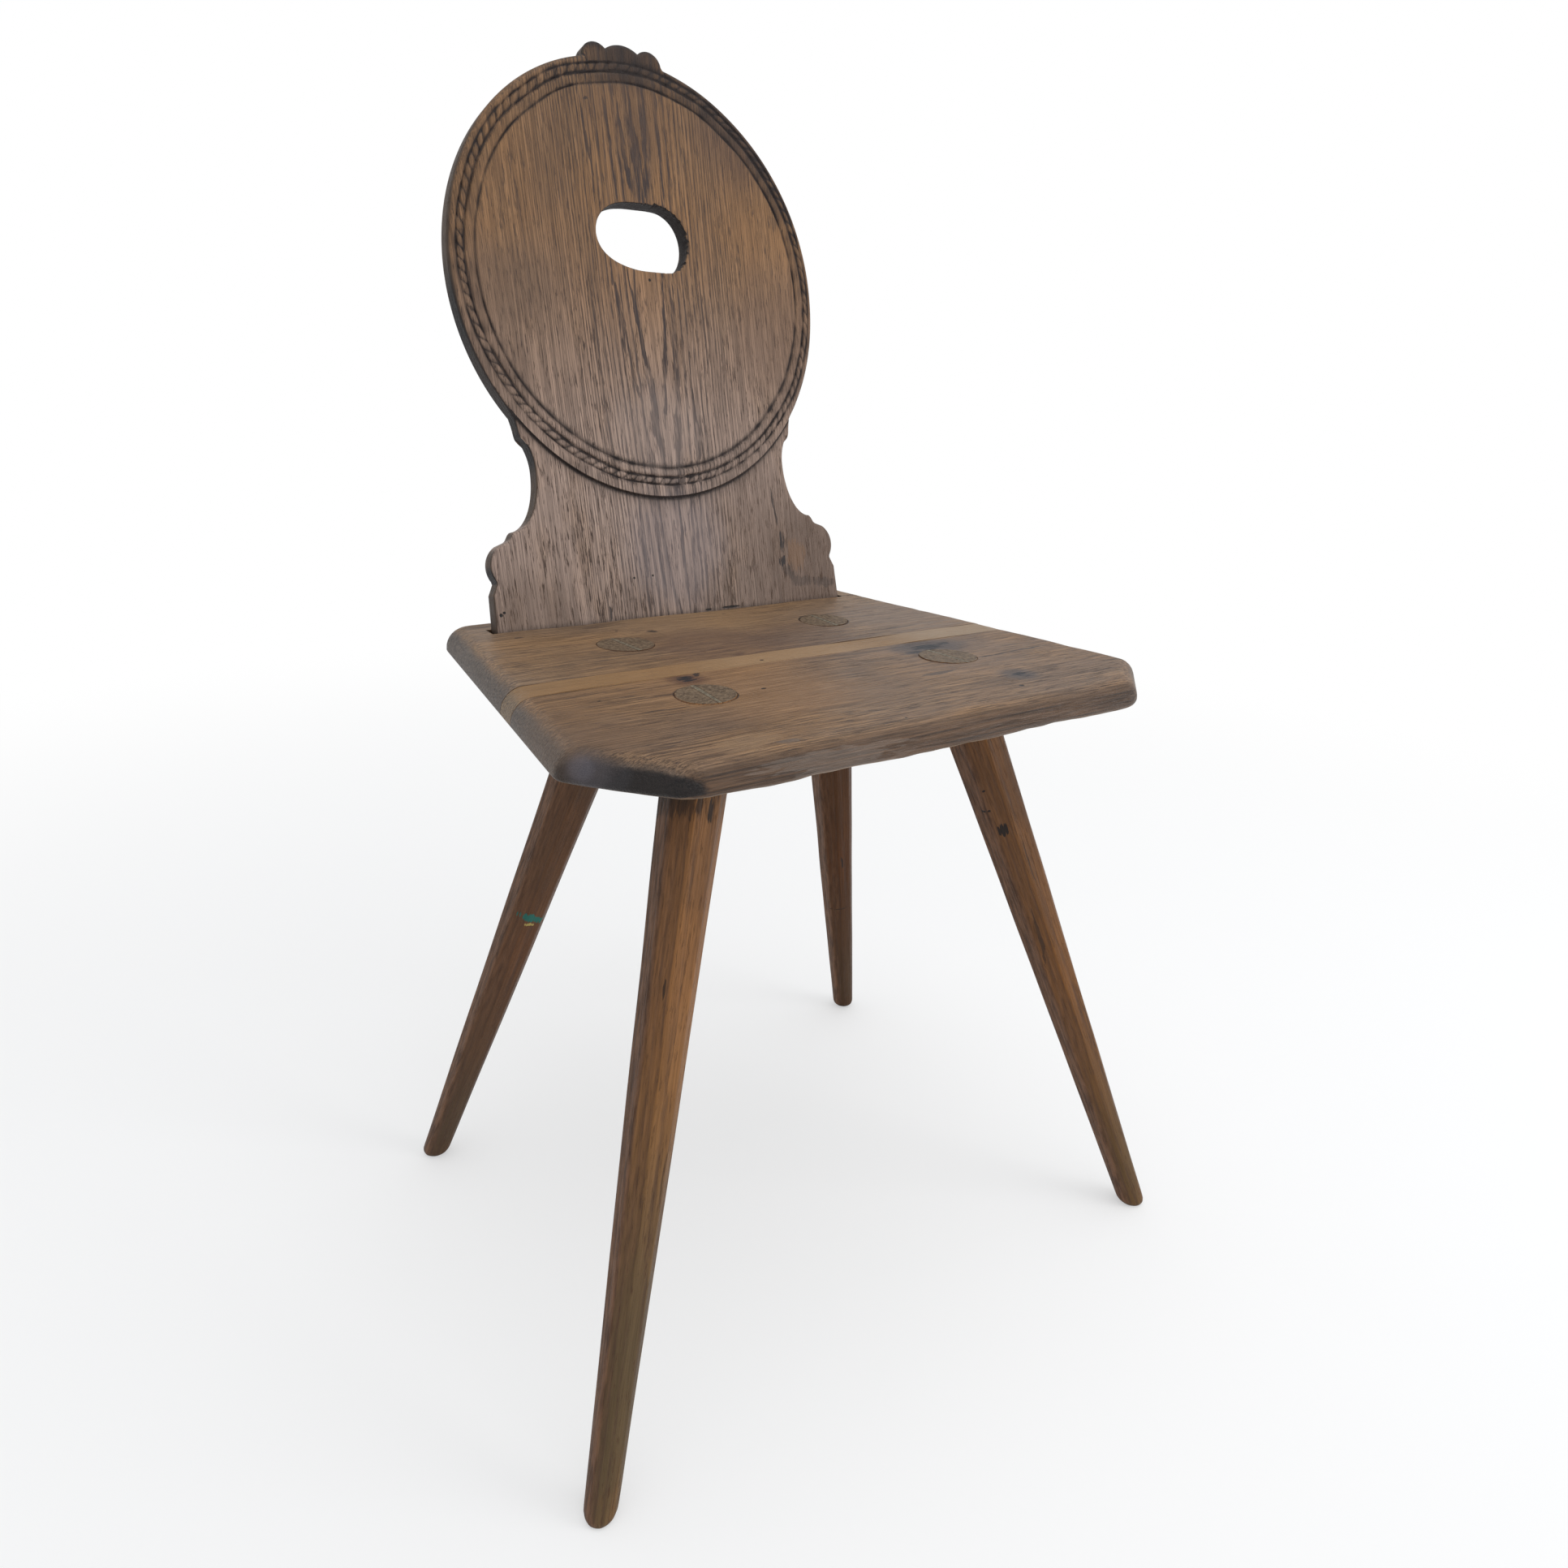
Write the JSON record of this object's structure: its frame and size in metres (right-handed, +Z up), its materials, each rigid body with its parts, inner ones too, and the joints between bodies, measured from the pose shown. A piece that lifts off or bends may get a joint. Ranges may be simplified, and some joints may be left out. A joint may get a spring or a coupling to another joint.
{
  "type": "plank chair",
  "caption": "Carved wooden plank chair: leaning board back with a carved oval and hand hole, solid seat of edge-joined boards, and splayed tapered legs wedged through the seat.",
  "frame": {"origin": "on the floor, below the middle of the whole chair's box", "axes": "+Z up; the chair faces -Y, so the back leans towards +Y; +X is the right side as the chair is seen from the front"},
  "size_m": [0.5032, 0.4393, 0.8438],
  "materials": {
    "back_timber": "waxed, worn, open grain",
    "seat_timber": "waxed, worn, open grain",
    "strip_timber": "waxed, paler board",
    "leg_timber": "waxed, shaved facets",
    "wedge_timber": "end grain, worn flush",
    "under_timber": "unfinished, dull"
  },
  "bodies": {
    "root": {"backrest": "back_timber", "seat_rear_board": "seat_timber", "seat_strip": "strip_timber", "seat_front_board": "seat_timber", "leg_front_left": "leg_timber", "leg_front_right": "leg_timber", "leg_rear_left": "leg_timber", "leg_rear_right": "leg_timber", "wedge_front_left": "wedge_timber", "wedge_front_right": "wedge_timber", "wedge_rear_left": "wedge_timber", "wedge_rear_right": "wedge_timber", "batten_left": "under_timber", "batten_right": "under_timber", "back_key_left": "under_timber", "back_key_right": "under_timber"}
  },
  "joints": []
}
